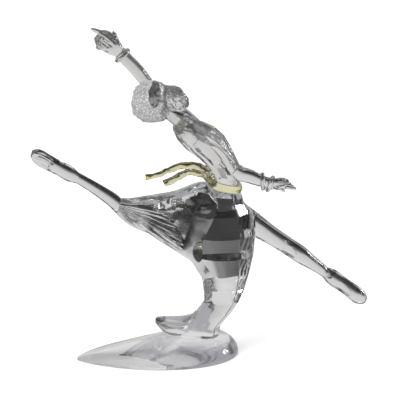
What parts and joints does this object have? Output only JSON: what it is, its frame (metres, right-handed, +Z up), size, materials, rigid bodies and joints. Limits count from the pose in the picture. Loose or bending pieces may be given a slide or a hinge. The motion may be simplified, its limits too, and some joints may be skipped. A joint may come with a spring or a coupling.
{
  "type": "ballerina figurine",
  "caption": "Cut-crystal dancer in a split leap on a domed wave-shaped foot, with a faceted gown and a pale yellow sash.",
  "frame": {"origin": "middle of the foot's flat underside", "axes": "+Z up, the dancer faces -X with the raised leg, and the near side with the trailing arm is -Y"},
  "size_m": [0.189, 0.0562, 0.1878],
  "materials": {
    "clear_crystal": "polished clear cut crystal",
    "frosted_crystal": "clear crystal with a frosted, granular surface",
    "foot_crystal": "polished clear crystal, faintly violet",
    "yellow_crystal": "polished pale yellow crystal"
  },
  "bodies": {
    "root": {"base": "foot_crystal", "skirt": "clear_crystal", "front_leg": "clear_crystal", "rear_leg": "clear_crystal", "torso": "clear_crystal", "head": "frosted_crystal", "raised_arm": "clear_crystal", "trailing_arm": "clear_crystal", "sash": "yellow_crystal"}
  },
  "joints": []
}
